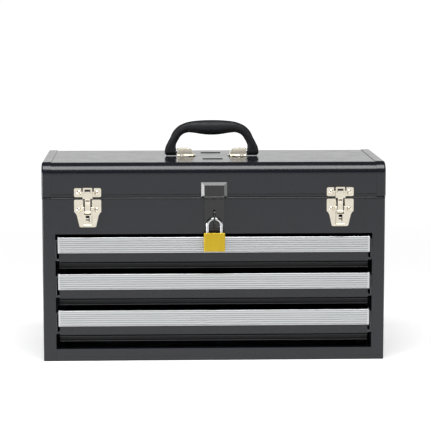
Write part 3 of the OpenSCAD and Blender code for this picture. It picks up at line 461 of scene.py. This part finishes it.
def moulded_grip_rubber(finish):
    """Soft PVC grip, injection moulded in a spark-eroded tool."""
    # The eroded mould prints a fine matt grain, so light rolls off the grip in a broad soft band.
    size = finish.grip_grain
    return surface(
        "moulded_grip_rubber",
        {"Metallic": 0.0, "IOR": 1.5, "Specular IOR Level": 0.35},
        lambda t: patches(t, grain(t, size * 8, detail=3), finish.rubber, shade(finish.rubber, 1.3)),
        lambda t: spread(t, grain(t, size * 12, detail=2), 0.5, 0.6),
        lambda t: bump(t, grain(t, size, detail=3, roughness=0.7), 0.06 * MM),
    )


def lacquered_brass(finish):
    """Extruded brass, milled square, linished upwards and lacquered."""
    # The belt leaves fine upright lines, and the lacquer keeps the yellow bright.
    lines = (1, 1, 50)
    return surface(
        "lacquered_brass",
        {"Metallic": 1.0, "Coat Weight": 0.3, "Coat Roughness": 0.15},
        lambda t: patches(t, grain(t, finish.brush_size, lines), finish.brass, shade(finish.brass, 0.86)),
        lambda t: spread(t, grain(t, finish.brush_size, lines), 0.28, 0.4),
        lambda t: bump(t, grain(t, finish.brush_size, lines), 0.006 * MM),
    )


def chromed_steel(finish):
    """Hardened steel rod, ground, polished and chrome plated."""
    # Polished chrome mirrors the room, softened only by faint grinding marks.
    return surface(
        "chromed_steel",
        {"Metallic": 1.0},
        lambda t: patches(t, grain(t, 2 * MM), finish.chrome, shade(finish.chrome, 0.93)),
        lambda t: spread(t, grain(t, 1.2 * MM), 0.07, 0.14),
        lambda t: bump(t, grain(t, 0.8 * MM), 0.003 * MM),
    )


def black_coated_steel(finish):
    """Pressed steel with a black electrophoretic coat."""
    # The thin dipped coat is smooth and glossy, with a slight waviness from the pressing.
    return surface(
        "black_coated_steel",
        {"Metallic": 0.0, "IOR": 1.52, "Specular IOR Level": 0.55},
        lambda t: patches(t, grain(t, 1.5 * MM, detail=3), finish.black_steel, shade(finish.black_steel, 1.5)),
        lambda t: spread(t, grain(t, 4 * MM), 0.1, 0.16),
        lambda t: bump(t, grain(t, 9 * MM, detail=1), 0.02 * MM),
    )


MAKERS = {
    "paint": powder_coated_steel,
    "aluminium": anodised_aluminium,
    "nickel": nickel_plated_steel,
    "zinc": zinc_plated_steel,
    "rubber": moulded_grip_rubber,
    "brass": lacquered_brass,
    "bright_steel": chromed_steel,
    "black_steel": black_coated_steel,
}


def finish_for(slot):
    """The finish of one of the record's material slots, made once."""
    maker = MAKERS[slot]
    return bpy.data.materials.get(maker.__name__) or maker(bpy.context.scene.tool_box_finish)


def dress(names, radius):
    """Finish for CAD nodes, and soft edges where the radius isn't 0."""
    form = bpy.context.scene.tool_box_form
    for name in names:
        paint_nodes(finish_for(SLOT_OF[name]), [name])
    if radius:
        soften(names, radius, form.edge_steps)


# ---- operators ------------------------------------------------------------------------------


class TOOLBOX_OT_case(bpy.types.Operator):
    """Finish the painted case with its posts, runners and rim"""

    bl_idname = "tool_box.case"
    bl_label = "Case"

    def execute(self, context):
        form = context.scene.tool_box_form
        dress(["side_left", "side_right", "back_panel", "base_pan", "front_panel", "till_floor"], form.sheet_edge)
        dress(["rim"], 0)
        dress([f"{part}_{side}" for part in ("rear_post", "runners") for side in SIDES], form.fitting_edge)
        return {"FINISHED"}


class TOOLBOX_OT_lid(bpy.types.Operator):
    """Finish the lid with its end caps, hinge and stays"""

    bl_idname = "tool_box.lid"
    bl_label = "Lid"

    def execute(self, context):
        form = context.scene.tool_box_form
        dress(["lid_shell"], form.sheet_edge)
        dress(["lid_end_left", "lid_end_right"], 0)
        dress(["hinge_leaf_case", "hinge_leaf_lid", "hinge_pin", "stay_pins_case", "stay_pins_lid"], 0)
        dress(["stay_left", "stay_right"], form.fitting_edge)
        return {"FINISHED"}


class TOOLBOX_OT_drawers(bpy.types.Operator):
    """Finish the drawers with their pulls and slides"""

    bl_idname = "tool_box.drawers"
    bl_label = "Drawers"

    def execute(self, context):
        finish = context.scene.tool_box_finish
        form = context.scene.tool_box_form
        grooved = grooved_aluminium(finish, form)
        for level in LEVELS:
            dress([f"tray_{level}", f"front_{level}"], form.sheet_edge)
            dress([f"pull_{level}", f"pull_clips_{level}", f"slides_{level}"], form.fitting_edge)
            paint_nodes(grooved, [f"pull_{level}"])
            paint_nodes(powder_coated_front(finish, form, level), [f"front_{level}"])
        return {"FINISHED"}


class TOOLBOX_OT_latches(bpy.types.Operator):
    """Finish the draw latches and rivets"""

    bl_idname = "tool_box.latches"
    bl_label = "Draw latches"

    def execute(self, context):
        form = context.scene.tool_box_form
        dress([f"{part}_{side}" for part in ("latch_base", "catch", "lever", "claw") for side in SIDES],
              form.fitting_edge)
        dress(["claw_pin_left", "claw_pin_right", "latch_pivots", "case_rivets", "lid_rivets"], 0)
        return {"FINISHED"}


class TOOLBOX_OT_hasp(bpy.types.Operator):
    """Finish the hasp, its strap and the staple"""

    bl_idname = "tool_box.hasp"
    bl_label = "Hasp"

    def execute(self, context):
        dress(["hasp_plate", "hasp_strap", "staple"], context.scene.tool_box_form.fitting_edge)
        dress(["hasp_pin"], 0)
        return {"FINISHED"}


class TOOLBOX_OT_padlock(bpy.types.Operator):
    """Finish the padlock"""

    bl_idname = "tool_box.padlock"
    bl_label = "Padlock"

    def execute(self, context):
        dress(["lock_body", "key_plug"], context.scene.tool_box_form.lock_edge)
        dress(["shackle"], 0)
        return {"FINISHED"}


# The right half of the grip, from its middle down to the foot, in millimetres: place across and height
# of the middle line, half the height and half the depth of the section, and how square it is (2 is round).
GRIP_LINE = (
    (0.0, 347.2, 11.6, 11.6, 2.0),
    (13.0, 347.5, 11.1, 11.1, 2.0),
    (26.0, 348.0, 9.6, 9.6, 2.0),
    (35.5, 347.7, 8.4, 8.5, 2.0),
    (41.0, 346.4, 7.8, 7.9, 2.0),
    (46.2, 344.4, 7.5, 7.6, 2.0),
    (51.0, 341.1, 7.2, 7.4, 2.0),
    (54.8, 336.9, 7.0, 7.2, 2.0),
    (57.4, 332.4, 6.8, 7.0, 2.0),
    (59.6, 328.0, 6.5, 6.8, 2.0),
    (61.8, 323.8, 6.7, 6.7, 2.1),
    (63.2, 319.8, 7.3, 6.6, 2.3),
    (64.1, 316.2, 8.2, 6.5, 2.7),
    (64.6, 312.8, 8.9, 6.4, 3.4),
    (64.7, 309.6, 9.2, 6.4, 4.0),
)

# The sections turn level over LEVEL_RUN below LEVEL_TOP. The foot ends in a half round of FOOT_STEPS
# sections up to FOOT_TURN, drawn in on its outer side by FOOT_ROUND once its sine passes FOOT_START.
LEVEL_TOP = 316.5
LEVEL_RUN = 6.0
FOOT_STEPS = 8
FOOT_TURN = 82
FOOT_ROUND = 2.6
FOOT_START = 0.45

ACROSS = Vector((1, 0, 0))


def smooth_row(rows, place):
    """The values of a row between two rows, on a smooth curve through all of them."""
    i = min(int(place), len(rows) - 2)
    t = place - i
    before, first, second, after = (rows[min(max(k, 0), len(rows) - 1)] for k in range(i - 1, i + 3))
    if i == 0:
        # The left half mirrors this one.
        before = (-rows[1][0], *rows[1][1:])
    return [
        b + 0.5 * t * (c - a + t * (2 * a - 5 * b + 4 * c - d + t * (3 * (b - c) + d - a)))
        for a, b, c, d in zip(before, first, second, after)
    ]


def grip_sections(rings):
    """Sections down the right half: middle, direction of the height, half height, half depth, squareness."""
    last = len(GRIP_LINE) - 1
    rows = [smooth_row(GRIP_LINE, last * i / rings) for i in range(rings + 1)]
    sections = []
    for i, (x, z, high, deep, power) in enumerate(rows):
        ahead, behind = rows[min(i + 1, rings)], rows[max(i - 1, 0)]
        run = Vector((ahead[0] - behind[0], 0, ahead[1] - behind[1])).normalized() if i else ACROSS
        level = min(max((LEVEL_TOP - z) / LEVEL_RUN, 0), 1)
        across = Vector((-run.z, 0, run.x)).lerp(ACROSS, level).normalized()
        sections.append((Vector((x, 0, z)), across, high, deep, power))
    x, z, high, deep, power = GRIP_LINE[-1]
    for i in range(1, FOOT_STEPS + 1):
        turn = math.radians(FOOT_TURN * i / FOOT_STEPS)
        cut = FOOT_ROUND * max(0.0, math.sin(turn) - FOOT_START) / (1 - FOOT_START)
        place = Vector((x - cut / 2, 0, z - deep * math.sin(turn)))
        sections.append((place, ACROSS, high - cut / 2, deep * math.cos(turn), power))
    return sections


def mirrored(section):
    """A section of the right half as the left half has it."""
    place, across, *sizes = section
    return Vector((-place.x, 0, place.z)), Vector((-across.x, 0, across.z)), *sizes


def moulded_grip(form):
    """The grip: a round bar that swells in the hand and runs out into two square feet."""
    core = NODES["handle_core"]
    corners = [core.matrix_world @ Vector(corner) for corner in core.bound_box]
    depth = sum(corner.y for corner in corners) / len(corners) / MM
    sides = form.grip_sides
    half = grip_sections(form.grip_rings)
    mesh = bmesh.new()
    rings = []
    for place, across, high, deep, power in [mirrored(section) for section in reversed(half[1:])] + half:
        ring = []
        for k in range(sides):
            angle = 2 * math.pi * k / sides
            c, s = math.cos(angle), math.sin(angle)
            reach = (abs(c) ** power + abs(s) ** power) ** (-1 / power)
            point = place + across * (high * reach * c) + Vector((0, depth + deep * reach * s, 0))
            ring.append(mesh.verts.new(point * MM))
        rings.append(ring)
    for first, second in zip(rings, rings[1:]):
        for k in range(sides):
            mesh.faces.new((first[k], first[(k + 1) % sides], second[(k + 1) % sides], second[k]))
    mesh.faces.new(rings[0])
    mesh.faces.new(rings[-1])
    bmesh.ops.recalc_face_normals(mesh, faces=mesh.faces)
    data = bpy.data.meshes.new("moulded_grip")
    mesh.to_mesh(data)
    mesh.free()
    data.shade_smooth()
    return placed("moulded_grip", data)


class TOOLBOX_OT_handle(bpy.types.Operator):
    """Mould the grip and finish the carry handle and its brackets"""

    bl_idname = "tool_box.handle"
    bl_label = "Carry handle"

    def execute(self, context):
        form = context.scene.tool_box_form
        dress(["handle_core"], 0)
        grip = moulded_grip(form)
        grip.data.materials.append(finish_for("rubber"))
        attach(grip, BODY_OF["handle_grip"])
        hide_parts("handle_grip")
        dress(["handle_bracket_left", "handle_bracket_right"], 0)
        for side in SIDES:
            press(NODES[f"handle_bracket_{side}"], form.press_size, form.press_rounds)
        return {"FINISHED"}


# The floor's corners, the width of the camera's frame in millimetres, and how far it sees in metres,
# which is past the edge of the floor.
FLOOR_SIDES = 96
FRAME_WIDTH = 36
VIEW_REACH = 50

# Each lamp's name, place, the spot it is turned to, width and height in metres, and its power's property.
LAMPS = (
    ("top_lamp", (0, -0.53, 1.48), (0, -0.1, 0.3), 1.1, 0.8, "top_light"),
    ("left_lamp", (-1.6, -0.42, 0.3), (0, -0.1, 0.25), 0.5, 0.56, "left_light"),
    ("right_lamp", (1.6, -0.4, 0.36), (0, -0.1, 0.25), 0.5, 0.66, "right_light"),
)


def backdrop_material(stage):
    """White paper, lifted to full white away from the object where the camera or a gloss looks at it."""
    material, tree, output = new_material("white_paper")
    seen = seen_rays(tree)
    paper = put(tree, "ShaderNodeBsdfDiffuse", {"Color": rgba(shade(stage.backdrop, stage.paper_white))})
    place = put(tree, "ShaderNodeTexCoord").outputs["Object"]
    away = put(tree, "ShaderNodeVectorMath", {"operation": "LENGTH"}, i0=place).outputs["Value"]
    full = stage.paper_glow + stage.far_glow
    lift = spread(tree, away, stage.paper_glow, full, stage.glow_start, stage.glow_end)
    glow = put(tree, "ShaderNodeEmission", {"Color": rgba(stage.backdrop)}, Strength=lift)
    lit = put(tree, "ShaderNodeAddShader", i0=paper.outputs[0], i1=glow.outputs[0])
    mixed = put(tree, "ShaderNodeMixShader", i0=seen, i1=paper.outputs[0], i2=lit.outputs[0])
    tree.links.new(mixed.outputs[0], output.inputs["Surface"])
    return material


def paper_floor(reach):
    """A wide round sheet of paper under the object."""
    turns = [2 * math.pi * i / FLOOR_SIDES for i in range(FLOOR_SIDES)]
    corners = [(reach * math.cos(turn), reach * math.sin(turn), 0.0) for turn in turns]
    mesh = bpy.data.meshes.new("paper_floor")
    mesh.from_pydata(corners, [], [tuple(range(FLOOR_SIDES))])
    return placed("paper_floor", mesh)


def studio_world(stage):
    """Dim and even light from all around, in which a gloss sees white walls below a dark ceiling."""
    world = bpy.data.worlds.new("studio")
    bpy.context.scene.world = world
    world.use_nodes = True
    tree = world.node_tree
    tree.nodes.clear()
    top = math.sin(stage.wall_top)
    wall = spread(tree, upright(tree, "Generated"), 1.0, stage.ceiling, top, top + stage.wall_fade)
    even = put(tree, "ShaderNodeBackground", {"Color": rgba(stage.backdrop), "Strength": stage.ambient})
    room = put(tree, "ShaderNodeBackground", {"Color": rgba(stage.backdrop)}, Strength=wall)
    sky = put(tree, "ShaderNodeMixShader", i0=seen_rays(tree), i1=even.outputs[0], i2=room.outputs[0])
    put(tree, "ShaderNodeOutputWorld", Surface=sky.outputs[0])


def area_lamp(name, place, target, width, height, power):
    """A soft rectangular lamp turned to a spot."""
    data = bpy.data.lights.new(name, "AREA")
    data.shape = "RECTANGLE"
    data.size = width
    data.size_y = height
    data.energy = power
    lamp = placed(name, data)
    lamp.location = place
    lamp.rotation_mode = "QUATERNION"
    lamp.rotation_quaternion = (Vector(target) - Vector(place)).to_track_quat("-Z", "Y")


class TOOLBOX_OT_stage(bpy.types.Operator):
    """Set up the floor, the backdrop, the lamps and the camera"""

    bl_idname = "tool_box.stage"
    bl_label = "Studio"

    def execute(self, context):
        scene = context.scene
        stage = scene.tool_box_stage
        scene.view_settings.view_transform = "Standard"

        floor = paper_floor(stage.floor_reach)
        floor.data.materials.append(backdrop_material(stage))

        studio_world(stage)
        for name, place, target, width, height, power in LAMPS:
            area_lamp(name, place, target, width, height, getattr(stage, power))

        camera = placed("camera", bpy.data.cameras.new("camera"))
        camera.data.sensor_width = FRAME_WIDTH
        camera.data.lens = stage.focal
        camera.data.clip_end = VIEW_REACH
        turn = Matrix.Rotation(-stage.camera_turn, 4, "Z")
        dip = Matrix.Rotation(math.pi / 2 - stage.camera_dip, 4, "X")
        camera.matrix_world = Matrix.Translation(stage.camera_place) @ turn @ dip
        scene.camera = camera
        return {"FINISHED"}


OPERATORS = (
    TOOLBOX_OT_case,
    TOOLBOX_OT_lid,
    TOOLBOX_OT_drawers,
    TOOLBOX_OT_latches,
    TOOLBOX_OT_hasp,
    TOOLBOX_OT_padlock,
    TOOLBOX_OT_handle,
    TOOLBOX_OT_stage,
)


class TOOLBOX_PT_panel(bpy.types.Panel):
    """Lists the steps and their values"""

    bl_idname = "TOOLBOX_PT_panel"
    bl_label = "Tool Box"
    bl_space_type = "VIEW_3D"
    bl_region_type = "UI"
    bl_category = "Tool Box"

    def draw(self, context):
        layout = self.layout
        for operator in OPERATORS:
            layout.operator(operator.bl_idname)
        for group in (context.scene.tool_box_finish, context.scene.tool_box_form, context.scene.tool_box_stage):
            box = layout.box()
            for name in group.__annotations__:
                box.prop(group, name)


GROUPS = {"tool_box_finish": ToolBoxFinish, "tool_box_form": ToolBoxForm, "tool_box_stage": ToolBoxStage}


def register():
    for item in (*GROUPS.values(), *OPERATORS, TOOLBOX_PT_panel):
        bpy.utils.register_class(item)
    for name, group in GROUPS.items():
        setattr(bpy.types.Scene, name, PointerProperty(type=group))


def unregister():
    for name in GROUPS:
        delattr(bpy.types.Scene, name)
    for item in reversed((*GROUPS.values(), *OPERATORS, TOOLBOX_PT_panel)):
        bpy.utils.unregister_class(item)


def main():
    register()
    for operator in OPERATORS:
        group, name = operator.bl_idname.split(".")
        getattr(getattr(bpy.ops, group), name)()


if __name__ == "__main__":
    main()
